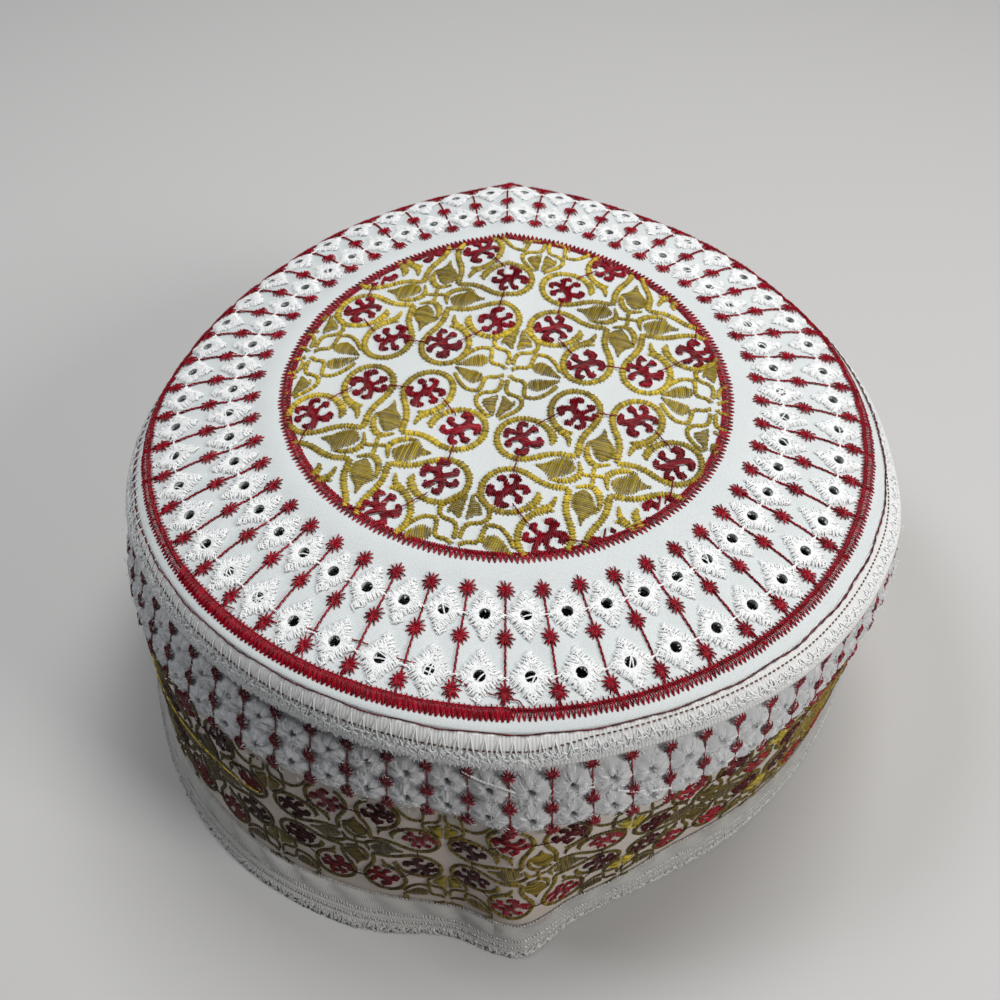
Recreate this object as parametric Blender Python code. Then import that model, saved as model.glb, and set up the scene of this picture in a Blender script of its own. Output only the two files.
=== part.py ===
"""Embroidered prayer cap: a flat round crown, a rolled welt, a stiff side band and a bound hem.

The cap stands on its hem. The cloth walls are hollow, and the head goes in from below.
Radii and heights come from one table of sections round the cap, in millimetres.
Azimuth 0 is the front (-Y) and grows towards +X.
"""
import math

import bmesh
import bpy
from mathutils import Vector

MM = 0.001

# Driving sizes, in millimetres
CAP_HEIGHT = 74.0        # middle of the crown above the surface that the hem rests on
RING_R = 76.5            # radius of the ring of crimson stitches near the crown's edge
CROWN_CLOTH = 1.4        # two layers of cotton with a stiff interlining
WELT_CLOTH = 2.0         # folded strip that joins the crown to the band
BAND_CLOTH = 1.6         # side band where it is embroidered flat
HEM_CLOTH = 2.6          # bound and quilted hem
SEAM_GAP = 0.35          # space left between neighbouring pieces

# The crown is pressed a little out of level: it rises to the back and to the left (-X)
RISE_TO_BACK = 0.054
RISE_TO_LEFT = 0.020

# The cap's sections, one row for each fold or turn of the cloth.
# Columns: azimuth in degrees, drop of the crown at 0.6 of the ring and at the ring, radius where
# the crown bends down, drop and radius of the seam under the welt, radii of the waist between
# lace and arabesque, of the hem's upper edge, and of the hem on the table.
SECTION_COLUMNS = ("azimuth", "inner_drop", "ring_drop", "bend_r", "seam_drop", "seam_r", "waist_r",
                   "cuff_r", "hem_r")
SECTIONS = (
    (-180, 0.8, 6.9, 72.9, 12.8, 80.2, 84.3, 88.1, 92.5),
    (-170, 1.3, 8.1, 71.5, 13.6, 79.8, 82.8, 85.6, 89.0),
    (-150, 2.6, 10.5, 69.3, 14.8, 80.0, 82.2, 84.5, 86.5),
    (-125, 3.3, 12.5, 68.2, 15.5, 78.3, 82.2, 84.8, 87.3),
    (-105, 3.1, 11.7, 70.2, 15.0, 77.7, 82.7, 86.0, 88.3),
    (-85, 2.4, 9.7, 74.7, 13.6, 79.6, 84.4, 87.8, 89.6),
    (-65, 1.4, 7.0, 77.2, 12.6, 80.9, 86.2, 89.6, 91.3),
    (-50, 0.7, 5.0, 77.8, 12.6, 80.8, 87.0, 90.8, 93.9),
    (-35, 0.1, 3.2, 78.0, 12.6, 80.7, 86.9, 90.8, 94.9),
    (-20, -0.3, 2.3, 78.0, 12.6, 80.8, 85.5, 89.0, 94.4),
    (-7, -0.4, 2.2, 78.0, 12.6, 81.5, 84.7, 87.5, 91.1),
    (2, -0.3, 2.4, 78.0, 12.6, 82.0, 87.5, 91.0, 94.7),
    (10, -0.2, 2.5, 78.0, 12.6, 81.9, 86.5, 86.4, 88.1),
    (18, -0.1, 2.7, 78.0, 12.6, 81.7, 85.9, 84.0, 85.4),
    (27, 0.1, 3.0, 78.0, 12.6, 82.2, 84.7, 82.0, 84.6),
    (45, 0.7, 4.2, 78.0, 12.6, 83.5, 84.4, 83.3, 84.4),
    (65, 1.3, 5.6, 77.2, 12.6, 83.8, 86.0, 84.8, 85.4),
    (85, 1.9, 6.8, 75.0, 13.0, 81.4, 87.6, 87.1, 87.7),
    (105, 2.2, 7.6, 71.9, 13.8, 80.2, 84.7, 86.4, 88.0),
    (125, 2.3, 8.9, 70.8, 14.8, 79.5, 82.9, 85.5, 87.5),
    (150, 1.9, 8.8, 70.4, 14.8, 79.3, 82.1, 84.5, 86.5),
    (170, 1.0, 7.6, 71.7, 13.6, 79.6, 82.7, 85.6, 89.0),
)
INNER_DROP_AT = 0.6      # fraction of the ring's radius at which inner_drop is measured
WAIST_AT = 0.30          # waist and cuff, as fractions of the way down from the seam to the table
CUFF_AT = 0.885
EDGE_CORNER = 0.75       # how square the crown's edge is, from 0.5 for a slope to 1 for a corner
EDGE_PARTS = 8           # short straight parts in which the edge is measured

# Crown: lines of stars run out from the middle, with a round eyelet in each of two cells between
# neighbouring lines. Distances out along the cloth are fractions of the ring's radius.
STAR_LINES = 50
FIRST_LINE = 0.67        # degrees
EYELET_ROWS = (0.765, 0.916)
CELL_EDGES = (0.70, 0.84, 0.985)
EYELET_R = 1.15
EYELET_SIDES = 6
# Rings of the crown inside the eyelet cells: fraction of the ring's radius and divisions round it
CROWN_RINGS = ((0.14, 25), (0.30, 25), (0.45, 50), (0.58, 50))
CROWN_EDGE = (77.0, 78.5, 79.9)      # rings of the crown outside the cells, the last one its edge
WELT_PARTS = (0.0, 0.3, 0.65, 1.0)   # steps of the welt from the crown's edge to the seam
WELT_BEVEL = 0.9         # the welt's inner face stops this much before its outer face

# Side band: padded lace above the waist, flat arabesque below it
BAND_STATIONS = 75
FIRST_STATION = 2.2      # degrees, on the fold at the front
BAND_INSET = 1.35        # the flat cloth lies this far inside the cap's outline
# Fraction of the way down from the seam to the table, and padding of the stitches in millimetres
BAND_ROWS = ((0.010, 0.4), (0.040, 1.2), (0.085, 0.7), (0.17, 1.1), (0.27, 0.9), (0.315, 0.4),
             (0.50, 0.4), (0.70, 0.3), (0.87, 0.0), (0.943, 0.0))
BAND_LINING_ROWS = (0.010, 0.15, 0.315, 0.50, 0.70, 0.87, 0.943)
HEM_LIP = 1.0            # the hem's outer fold, which covers the band's lower edge
HEM_SEAT = 0.95          # the fold on which the band's edge stands, as a fraction of the way down
HEM_ROUND = 0.7          # rounding of the hem's lower outer corner
CREASE_ANGLE = 40.0      # edges sharper than this are drawn as creases, in degrees

# Colours and roughness of the cloths
CLOTHS = {
    "crown_cotton": ((0.80, 0.83, 0.83), 0.85),
    "welt_cotton": ((0.74, 0.73, 0.72), 0.85),
    "band_cotton": ((0.70, 0.68, 0.66), 0.85),
    "hem_cotton": ((0.66, 0.66, 0.66), 0.90),
}


def smooth_curve(xs, ys, x):
    """Value at x of a cubic through the points that never overshoots them."""
    steps = [b - a for a, b in zip(xs, xs[1:])]
    slopes = [(b - a) / h for a, b, h in zip(ys, ys[1:], steps)]
    tangents = [slopes[0]]
    for left, right in zip(slopes, slopes[1:]):
        level = left * right <= 0.0
        tangents.append(0.0 if level else 2.0 * left * right / (left + right))
    tangents.append(slopes[-1])
    i = 0
    while i < len(steps) - 1 and x > xs[i + 1]:
        i += 1
    t = (x - xs[i]) / steps[i]
    rise = steps[i] * (t * (1 - t) ** 2 * tangents[i] - t * t * (1 - t) * tangents[i + 1])
    return ys[i] * (1 + 2 * t) * (1 - t) ** 2 + ys[i + 1] * t * t * (3 - 2 * t) + rise


def section(azimuth):
    """All sizes of the section at one azimuth, read from the table round the cap."""
    azimuth = (azimuth + 180.0) % 360.0 - 180.0
    rows = [[SECTIONS[-1][0] - 360] + list(SECTIONS[-1][1:])]
    rows += [list(row) for row in SECTIONS]
    rows += [[row[0] + 360] + list(row[1:]) for row in SECTIONS[:2]]
    angles = [row[0] for row in rows]
    sizes = {"azimuth": azimuth}
    for column, name in enumerate(SECTION_COLUMNS[1:], start=1):
        sizes[name] = smooth_curve(angles, [row[column] for row in rows], azimuth)
    return sizes


def crown_height(cut, radius):
    """Height of the crown's outer face: a shallow dome with a crease that runs to the back."""
    q = INNER_DROP_AT ** 2
    fourth = (cut["inner_drop"] - q * cut["ring_drop"]) / (q * q - q)
    square = cut["ring_drop"] - fourth
    s = (radius / RING_R) ** 2
    turn = math.radians(cut["azimuth"])
    rise = -RISE_TO_BACK * math.cos(turn) - RISE_TO_LEFT * math.sin(turn)
    return CAP_HEIGHT + rise * radius - square * s - fourth * s * s


def edge_point(cut, t):
    """Point on the rounded edge, from the crown's bend (t = 0) down to the seam (t = 1)."""
    bend_r = cut["bend_r"]
    bend_z = crown_height(cut, bend_r)
    slope = bend_z - crown_height(cut, bend_r - 1.0)
    corner_r = bend_r + EDGE_CORNER * (cut["seam_r"] - bend_r)
    corner_z = bend_z + slope * (corner_r - bend_r)
    seam_z = CAP_HEIGHT - cut["seam_drop"]
    a, b, c = (1 - t) ** 2, 2 * t * (1 - t), t * t
    return (a * bend_r + b * corner_r + c * cut["seam_r"], a * bend_z + b * corner_z + c * seam_z)


def seam_distance(cut):
    """Distance along the cloth from the crown's middle out to the seam."""
    points = [edge_point(cut, i / EDGE_PARTS) for i in range(EDGE_PARTS + 1)]
    return cut["bend_r"] + sum(math.dist(one, two) for one, two in zip(points, points[1:]))


def cloth_point(cut, out):
    """Point on the outer face of crown or welt, a distance out along the cloth."""
    if out <= cut["bend_r"]:
        return (out, crown_height(cut, out))
    return edge_point(cut, (out - cut["bend_r"]) / (seam_distance(cut) - cut["bend_r"]))


def cloth_inside(cut, out, depth):
    """Point inside the cloth of crown or welt, at a depth square to the outer face."""
    r0, z0 = cloth_point(cut, out - SEAM_GAP)
    r1, z1 = cloth_point(cut, out + SEAM_GAP)
    r, z = cloth_point(cut, out)
    length = math.hypot(r1 - r0, z1 - z0)
    return (r + (z1 - z0) / length * depth, z - (r1 - r0) / length * depth)


def wall_point(cut, down):
    """Point on the outline of the wall, from the seam (down = 0) to the table (down = 1)."""
    seam_z = CAP_HEIGHT - cut["seam_drop"]
    stops = (0.0, WAIST_AT, CUFF_AT, 1.0)
    radii = (cut["seam_r"], cut["waist_r"], cut["cuff_r"], cut["hem_r"])
    return (smooth_curve(stops, radii, down), seam_z * (1 - down))


def offset_line(line, distances):
    """The line with each point moved to the inner side by its own distance."""
    moved = []
    for i, ((r, z), distance) in enumerate(zip(line, distances)):
        r0, z0 = line[max(i - 1, 0)]
        r1, z1 = line[min(i + 1, len(line) - 1)]
        length = math.hypot(r1 - r0, z1 - z0)
        moved.append((r + (z1 - z0) / length * distance, z - (r1 - r0) / length * distance))
    return moved


def welt_profile(cut):
    """The welt: a folded strip that carries on the crown's rounded edge down to the seam."""
    start = CROWN_EDGE[-1] + SEAM_GAP
    end = seam_distance(cut) - SEAM_GAP
    outer = [cloth_point(cut, start + (end - start) * part) for part in WELT_PARTS]
    span = end - WELT_BEVEL - start
    inner = [cloth_inside(cut, start + span * part, WELT_CLOTH) for part in WELT_PARTS]
    return outer + inner[::-1]


def band_profile(cut):
    """The side band: padded lace stitches above the waist, flat cloth down to the hem's fold."""
    face = [wall_point(cut, down) for down, pad in BAND_ROWS]
    outer = offset_line(face, [BAND_INSET - pad for down, pad in BAND_ROWS])
    lining = [wall_point(cut, down) for down in BAND_LINING_ROWS]
    inner = offset_line(lining, [BAND_INSET + BAND_CLOTH] * len(lining))
    return outer + inner[::-1]


def hem_profile(cut):
    """The hem: a bound strip whose outer fold laps over the band's lower edge."""
    face = [wall_point(cut, down) for down in (CUFF_AT, HEM_SEAT, 1.0)]
    lip = offset_line(face, [HEM_LIP] * len(face))
    back = offset_line(face, [HEM_LIP + HEM_CLOTH] * len(face))
    hem_r = cut["hem_r"]
    outer = [face[0], face[1], (hem_r, HEM_ROUND), (hem_r - HEM_ROUND, 0.0)]
    return outer + [(hem_r - HEM_CLOTH, 0.0), back[1], lip[1], lip[0]]


def stations(count, first):
    return [first + 360.0 * i / count for i in range(count)]


def plan_middle():
    """Middle of the cap's outline from above, in millimetres."""
    xs = []
    ys = []
    for azimuth in stations(BAND_STATIONS, FIRST_STATION):
        cut = section(azimuth)
        turn = math.radians(azimuth)
        reach = max(r for r, z in band_profile(cut) + hem_profile(cut))
        xs.append(reach * math.sin(turn))
        ys.append(-reach * math.cos(turn))
    return ((min(xs) + max(xs)) / 2, (min(ys) + max(ys)) / 2)


MIDDLE_X, MIDDLE_Y = plan_middle()


def world(azimuth, radius, z):
    """A point of the cap in metres, with the origin under the middle of its outline."""
    turn = math.radians(azimuth)
    x = radius * math.sin(turn) - MIDDLE_X
    y = -radius * math.cos(turn) - MIDDLE_Y
    return Vector((x, y, z)) * MM


def make_material(name):
    color, roughness = CLOTHS[name]
    material = bpy.data.materials.new(name)
    material.use_nodes = True
    shader = material.node_tree.nodes["Principled BSDF"]
    shader.inputs["Base Color"].default_value = (*color, 1.0)
    shader.inputs["Roughness"].default_value = roughness
    shader.inputs["Metallic"].default_value = 0.0
    return material


def make_object(name, bm, material):
    bmesh.ops.recalc_face_normals(bm, faces=bm.faces)
    mesh = bpy.data.meshes.new(name)
    bm.to_mesh(mesh)
    bm.free()
    mesh.materials.append(material)
    mesh.shade_smooth()
    mesh.set_sharp_from_angle(angle=math.radians(CREASE_ANGLE))
    piece = bpy.data.objects.new(name, mesh)
    bpy.context.scene.collection.objects.link(piece)
    return piece


def loft_ring(name, profile, material):
    """A closed ring of cloth: the profile at each station, joined to the next one round the cap."""
    bm = bmesh.new()
    loops = []
    for azimuth in stations(BAND_STATIONS, FIRST_STATION):
        points = profile(section(azimuth))
        loops.append([bm.verts.new(world(azimuth, r, z)) for r, z in points])
    for one, two in zip(loops, loops[1:] + loops[:1]):
        for i in range(len(one)):
            j = (i + 1) % len(one)
            bm.faces.new((one[i], one[j], two[j], two[i]))
    return make_object(name, bm, material)


def crown_ring(bm, out, count, depth):
    """A ring of points at a distance out along the crown's cloth, at a depth inside it."""
    ring = []
    for azimuth in stations(count, FIRST_LINE):
        ring.append(bm.verts.new(world(azimuth, *cloth_inside(section(azimuth), out, depth))))
    return ring


def join_rings(bm, inner, outer):
    """Faces between two rings; the outer one has as many points or twice as many."""
    ratio = len(outer) // len(inner)
    for i in range(len(inner)):
        j = (i + 1) % len(inner)
        first = outer[i * ratio]
        last = outer[j * ratio]
        if ratio == 1:
            bm.faces.new((inner[i], first, last, inner[j]))
            continue
        between = outer[i * ratio + 1]
        bm.faces.new((inner[i], first, between))
        bm.faces.new((inner[i], between, inner[j]))
        bm.faces.new((inner[j], between, last))


def eyelet_loop(bm, azimuth, out, depth):
    """The rim of one eyelet, on the outer face or a cloth's thickness inside it."""
    loop = []
    for i in range(EYELET_SIDES):
        turn = 2 * math.pi * i / EYELET_SIDES
        side = azimuth + math.degrees(EYELET_R * math.sin(turn) / out)
        point = cloth_inside(section(side), out + EYELET_R * math.cos(turn), depth)
        loop.append(bm.verts.new(world(side, *point)))
    return loop


def fill_cell(bm, inner, outer, k, loop):
    """Faces of one cell round its eyelet. inner and outer are rings with two points a cell."""
    count = len(inner)
    a, b, c = 2 * k, 2 * k + 1, (2 * k + 2) % count
    rim = (outer[b], outer[c], inner[c], inner[b], inner[a], outer[a])
    for i in range(EYELET_SIDES):
        j = (i + 1) % EYELET_SIDES
        bm.faces.new((rim[i], rim[j], loop[j], loop[i]))


def crown_sheet(bm, depth):
    """One face of the crown, from the middle to its edge.

    Returns its last ring and the rims of its eyelets.
    """
    middle = bm.verts.new(world(0.0, 0.0, CAP_HEIGHT - depth))
    rings = [crown_ring(bm, part * RING_R, count, depth) for part, count in CROWN_RINGS]
    first = rings[0]
    for i, point in enumerate(first):
        bm.faces.new((middle, point, first[(i + 1) % len(first)]))
    cells = [crown_ring(bm, part * RING_R, 2 * STAR_LINES, depth) for part in CELL_EDGES]
    for inner, outer in zip(rings, rings[1:] + cells[:1]):
        join_rings(bm, inner, outer)
    rims = []
    for row, part in enumerate(EYELET_ROWS):
        for k in range(STAR_LINES):
            azimuth = FIRST_LINE + (k + 0.5) * 360.0 / STAR_LINES
            rims.append(eyelet_loop(bm, azimuth, part * RING_R, depth))
            fill_cell(bm, cells[row], cells[row + 1], k, rims[-1])
    last = cells[-1]
    for out in CROWN_EDGE:
        ring = crown_ring(bm, out, 2 * STAR_LINES, depth)
        join_rings(bm, last, ring)
        last = ring
    return last, rims


def make_crown(material):
    """The crown: two faces of cloth, joined round the edge and through the eyelets."""
    bm = bmesh.new()
    outer_end, outer_rims = crown_sheet(bm, 0.0)
    inner_end, inner_rims = crown_sheet(bm, CROWN_CLOTH)
    for top, bottom in zip([outer_end] + outer_rims, [inner_end] + inner_rims):
        join_rings(bm, top, bottom)
    return make_object("crown_top", bm, material)


def remove_everything():
    for item in list(bpy.data.objects):
        bpy.data.objects.remove(item, do_unlink=True)


def build():
    remove_everything()
    make_crown(make_material("crown_cotton"))
    loft_ring("edge_welt", welt_profile, make_material("welt_cotton"))
    loft_ring("side_band", band_profile, make_material("band_cotton"))
    loft_ring("hem_band", hem_profile, make_material("hem_cotton"))


build()
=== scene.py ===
"""Looks of an embroidered prayer cap: white cotton, crimson and gold silk, pierced eyelets.

Lengths are in millimetres unless a name says otherwise. Azimuth 0 is the front (-Y) and grows
towards +X. A point on the crown is (x, y) seen from above; a point on the wall is (way round,
way down from the seam). The stitches are laid out flat on the cloth and then put on the cap.
"""
import math

import bpy
import numpy as np
from mathutils import Matrix, Vector


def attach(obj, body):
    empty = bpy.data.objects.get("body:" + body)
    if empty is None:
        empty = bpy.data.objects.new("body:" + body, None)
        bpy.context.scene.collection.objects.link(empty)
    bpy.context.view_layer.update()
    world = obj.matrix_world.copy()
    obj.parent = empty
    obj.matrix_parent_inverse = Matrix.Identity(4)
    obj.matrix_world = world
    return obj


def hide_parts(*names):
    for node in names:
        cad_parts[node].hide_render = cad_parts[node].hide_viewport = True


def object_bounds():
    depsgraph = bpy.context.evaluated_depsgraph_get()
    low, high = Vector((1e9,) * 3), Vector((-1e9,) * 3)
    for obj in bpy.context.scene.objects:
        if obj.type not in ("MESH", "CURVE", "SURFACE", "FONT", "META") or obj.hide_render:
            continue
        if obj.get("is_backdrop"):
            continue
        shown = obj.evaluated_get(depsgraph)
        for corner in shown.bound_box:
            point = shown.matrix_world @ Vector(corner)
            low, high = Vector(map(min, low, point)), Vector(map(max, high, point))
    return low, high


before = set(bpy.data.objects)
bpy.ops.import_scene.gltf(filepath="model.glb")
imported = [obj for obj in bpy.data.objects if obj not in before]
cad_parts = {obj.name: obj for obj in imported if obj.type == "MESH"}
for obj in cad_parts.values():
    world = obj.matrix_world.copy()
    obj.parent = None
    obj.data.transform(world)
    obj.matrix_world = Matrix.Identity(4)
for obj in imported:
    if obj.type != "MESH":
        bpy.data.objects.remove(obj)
CAD_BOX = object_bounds()

# The crown: a disc of stiff white cotton twill on a lining, pressed into a shallow dome and
# turned down at its edge. A hundred round eyelets are punched through both layers. The edge of
# the disc is sewn to the welt.
MM = 0.001
MIDDLE_X = -0.768            # from the crown's middle to the middle of the cap's outline
MIDDLE_Y = -1.062
CAP_HEIGHT = 74.0
INNER_RING = 46.6            # rings of crimson stitches
RING_R = 76.5
CROWN_CLOTH = 1.4
RISE_TO_BACK = 0.054         # tilt of the crown, as rise by radius
RISE_TO_LEFT = 0.020
# Azimuth in degrees, drop of the crown at 0.6 of the ring and at the ring, radius of the bend,
# drop and radius of the seam, radii of the waist, of the hem's upper edge and of the hem
SECTIONS = np.array((
    (-180, 0.8, 6.9, 72.9, 12.8, 80.2, 84.3, 88.1, 92.5),
    (-170, 1.3, 8.1, 71.5, 13.6, 79.8, 82.8, 85.6, 89.0),
    (-150, 2.6, 10.5, 69.3, 14.8, 80.0, 82.2, 84.5, 86.5),
    (-125, 3.3, 12.5, 68.2, 15.5, 78.3, 82.2, 84.8, 87.3),
    (-105, 3.1, 11.7, 70.2, 15.0, 77.7, 82.7, 86.0, 88.3),
    (-85, 2.4, 9.7, 74.7, 13.6, 79.6, 84.4, 87.8, 89.6),
    (-65, 1.4, 7.0, 77.2, 12.6, 80.9, 86.2, 89.6, 91.3),
    (-50, 0.7, 5.0, 77.8, 12.6, 80.8, 87.0, 90.8, 93.9),
    (-35, 0.1, 3.2, 78.0, 12.6, 80.7, 86.9, 90.8, 94.9),
    (-20, -0.3, 2.3, 78.0, 12.6, 80.8, 85.5, 89.0, 94.4),
    (-7, -0.4, 2.2, 78.0, 12.6, 81.5, 84.7, 87.5, 91.1),
    (2, -0.3, 2.4, 78.0, 12.6, 82.0, 87.5, 91.0, 94.7),
    (10, -0.2, 2.5, 78.0, 12.6, 81.9, 86.5, 86.4, 88.1),
    (18, -0.1, 2.7, 78.0, 12.6, 81.7, 85.9, 84.0, 85.4),
    (27, 0.1, 3.0, 78.0, 12.6, 82.2, 84.7, 82.0, 84.6),
    (45, 0.7, 4.2, 78.0, 12.6, 83.5, 84.4, 83.3, 84.4),
    (65, 1.3, 5.6, 77.2, 12.6, 83.8, 86.0, 84.8, 85.4),
    (85, 1.9, 6.8, 75.0, 13.0, 81.4, 87.6, 87.1, 87.7),
    (105, 2.2, 7.6, 71.9, 13.8, 80.2, 84.7, 86.4, 88.0),
    (125, 2.3, 8.9, 70.8, 14.8, 79.5, 82.9, 85.5, 87.5),
    (150, 1.9, 8.8, 70.4, 14.8, 79.3, 82.1, 84.5, 86.5),
    (170, 1.0, 7.6, 71.7, 13.6, 79.6, 82.7, 85.6, 89.0),
), float)
INNER_DROP_AT = 0.6
EDGE_CORNER = 0.75           # where the edge turns down, as a share of the way bend to seam
AZIMUTH_STEP = 0.5
AZIMUTHS = np.arange(-180.0, 180.0, AZIMUTH_STEP)
EYELETS = 50
CELL_TURN = 360.0 / EYELETS
FIRST_LINE = 0.67
EYELET_ROWS = (58.5, 70.1)
CELL_EDGES = (53.5, 64.3, 75.35)   # rings between which the eyelets' cells lie
EYELET_R = 1.2
DIAMOND_OUT = 4.8            # half height of the white diamond round an eyelet
DIAMOND_WIDE = (3.4, 3.8)    # half width in the inner and the outer row
FOLD_HIGH = 0.8
RING_PUFF = 0.35
DENT_DEEP = 0.32
BULGE = 0.9


def smooth_curve(xs, ys, x):
    """Cubic through the points (xs, rows of ys) that never overshoots them, one x a column."""
    steps = np.diff(xs)[:, None]
    slopes = np.diff(ys, axis=0) / steps
    product = slopes[:-1] * slopes[1:]
    total = np.where(product > 0, slopes[:-1] + slopes[1:], 1.0)
    inner = np.where(product > 0, 2 * product / total, 0.0)
    tangents = np.vstack([slopes[:1], inner, slopes[-1:]])
    x = np.broadcast_to(x, ys.shape[1:])
    i = np.clip(np.searchsorted(xs, x) - 1, 0, len(xs) - 2)
    column = np.arange(ys.shape[1])
    step = steps[i, 0]
    t = (x - np.asarray(xs)[i]) / step
    rise = step * (t * (1 - t) ** 2 * tangents[i, column]
                   - t * t * (1 - t) * tangents[i + 1, column])
    low = ys[i, column] * (1 + 2 * t) * (1 - t) ** 2
    return low + ys[i + 1, column] * t * t * (3 - 2 * t) + rise


FULL_TURN = np.eye(9)[0] * 360
rows = np.vstack([SECTIONS[-1:] - FULL_TURN, SECTIONS, SECTIONS[:2] + FULL_TURN])
inner_drop, ring_drop, bend_r, seam_drop, seam_r, waist_r, cuff_r, hem_r = (
    smooth_curve(rows[:, 0], np.repeat(rows[:, i:i + 1], len(AZIMUTHS), axis=1), AZIMUTHS)
    for i in range(1, 9))
seam_z = CAP_HEIGHT - seam_drop


def crown_height(radius):
    """Height of the crown at a radius for each azimuth: a shallow dome on a tilted plane."""
    q = INNER_DROP_AT ** 2
    fourth = (inner_drop - q * ring_drop) / (q * q - q)
    s = (radius / RING_R) ** 2
    turn = np.radians(AZIMUTHS)
    rise = -RISE_TO_BACK * np.cos(turn) - RISE_TO_LEFT * np.sin(turn)
    return CAP_HEIGHT + rise * radius - (ring_drop - fourth) * s - fourth * s * s


def edge_point(t):
    """Radius and height on the turned edge, from the bend (t is 0) to the seam (t is 1)."""
    bend_z = crown_height(bend_r)
    slope = bend_z - crown_height(bend_r - 1.0)
    corner_r = bend_r + EDGE_CORNER * (seam_r - bend_r)
    corner_z = bend_z + slope * (corner_r - bend_r)
    a, b, c = (1 - t) ** 2, 2 * t * (1 - t), t * t
    return a * bend_r + b * corner_r + c * seam_r, a * bend_z + b * corner_z + c * seam_z


edge_points = np.array([edge_point(t) for t in np.linspace(0, 1, 9)])
edge_length = np.hypot(*np.diff(edge_points, axis=0).transpose(1, 0, 2)).sum(axis=0)
seam_at = bend_r + edge_length


class Face:
    """A face of the cap, kept as a table of radius and height by azimuth and way along the cloth."""

    def __init__(self, step, profiles, flat_to_round, relief=None):
        r, z = (np.array(x) for x in profiles)
        dr, dz = np.gradient(r, axis=0), np.gradient(z, axis=0)
        length = np.maximum(np.hypot(dr, dz), 1e-9)
        self.table = np.stack([r, z, -dz / length, dr / length], axis=2)
        self.step = step
        self.flat_to_round = flat_to_round
        self.relief = relief

    def at(self, points, lift=0.0):
        """Places in space, in metres, of flat points lifted off the cloth."""
        azimuth, way = self.flat_to_round(points)
        if self.relief:
            lift = lift + self.relief(azimuth, way)
        a = (azimuth + 180.0) % 360.0 / AZIMUTH_STEP
        w = np.clip(way / self.step, 0, len(self.table) - 1.001)
        i, j = w.astype(int), a.astype(int) % len(AZIMUTHS)
        fw, fa = (w - i)[..., None], (a % 1.0)[..., None]
        k = (j + 1) % len(AZIMUTHS)
        t = self.table
        found = ((t[i, j] * (1 - fa) + t[i, k] * fa) * (1 - fw)
                 + (t[i + 1, j] * (1 - fa) + t[i + 1, k] * fa) * fw)
        r = found[..., 0] + found[..., 2] * lift
        z = found[..., 1] + found[..., 3] * lift
        turn = np.radians(azimuth)
        x, y = r * np.sin(turn) - MIDDLE_X, -r * np.cos(turn) - MIDDLE_Y
        return np.stack([x, y, z], axis=-1) * MM


def crown_profile(out):
    """Radius and height for each azimuth at a distance out along the crown's cloth."""
    flat = crown_height(np.minimum(out, bend_r))
    edge = edge_point(np.clip((out - bend_r) / edge_length, 0, 1.2))
    on_edge = out > bend_r
    return np.where(on_edge, edge[0], out), np.where(on_edge, edge[1], flat)


def crown_to_round(points):
    """Azimuth and way out of flat points on the crown."""
    x, y = points[..., 0], points[..., 1]
    return np.degrees(np.arctan2(x, -y)), np.hypot(x, y)


def around(azimuth, out):
    """Flat points on the crown from azimuth and distance out."""
    turn = np.radians(azimuth)
    return np.stack([out * np.sin(turn), -out * np.cos(turn)], axis=-1)


def turns(count):
    """So many azimuths in degrees, evenly round the cap."""
    return np.arange(count) * 360.0 / count


def crown_relief(azimuth, way):
    """Old fold towards the back, puff and dents between the rings, bulge towards the seam."""
    off_fold = np.abs(np.sin(np.radians(azimuth))) * way
    behind = np.clip(-np.cos(np.radians(azimuth)) * way / 30.0, 0, 1)
    fold = FOLD_HIGH * np.exp(-off_fold / 2.5) * behind
    puff = RING_PUFF * np.sin(np.clip((way - INNER_RING) / 6.5, 0, 1) * math.pi)
    in_cell = ((azimuth - FIRST_LINE) % CELL_TURN - CELL_TURN / 2) / 180 * math.pi * way
    dent = 0.0
    for row, wide in zip(EYELET_ROWS, DIAMOND_WIDE):
        edge = np.abs(in_cell) / wide + np.abs(way - row) / DIAMOND_OUT - 1.1
        dent = dent - DENT_DEEP * np.exp(-(edge / 0.3) ** 2)
    bulge = BULGE * np.sin(np.clip((way - 79.0) / 7.0, 0, 1) * math.pi / 2) ** 2
    return fold + puff + dent + bulge


WAY_STEP = 0.5
CROWN_REACH = 88
crown_rows = [crown_profile(out) for out in np.arange(0, CROWN_REACH, WAY_STEP)]
crown_face = Face(WAY_STEP, zip(*crown_rows), crown_to_round, crown_relief)


def plug(value, slot):
    """Feed a shader's socket a plain value, or what a node gives."""
    if isinstance(value, Val):
        value.tree.links.new(value.socket, slot)
    else:
        slot.default_value = value


class Val:
    """A number or colour in a shader. Arithmetic on it adds the nodes that compute it."""

    def __init__(self, tree, socket):
        self.tree, self.socket = tree, socket

    def math(self, operation, *others, first=None):
        node = self.tree.nodes.new("ShaderNodeMath")
        node.operation = operation
        for slot, value in zip(node.inputs, (self if first is None else first, *others)):
            plug(value, slot)
        return Val(self.tree, node.outputs[0])

    def __add__(self, other):
        return self.math("ADD", other)

    def __sub__(self, other):
        return self.math("SUBTRACT", other)

    def __mul__(self, other):
        return self.math("MULTIPLY", other)

    def __rsub__(self, other):
        return self.math("SUBTRACT", self, first=other)

    __radd__ = __add__
    __rmul__ = __mul__

    def clamp(self, low, high):
        return self.math("MAXIMUM", low).math("MINIMUM", high)


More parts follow.
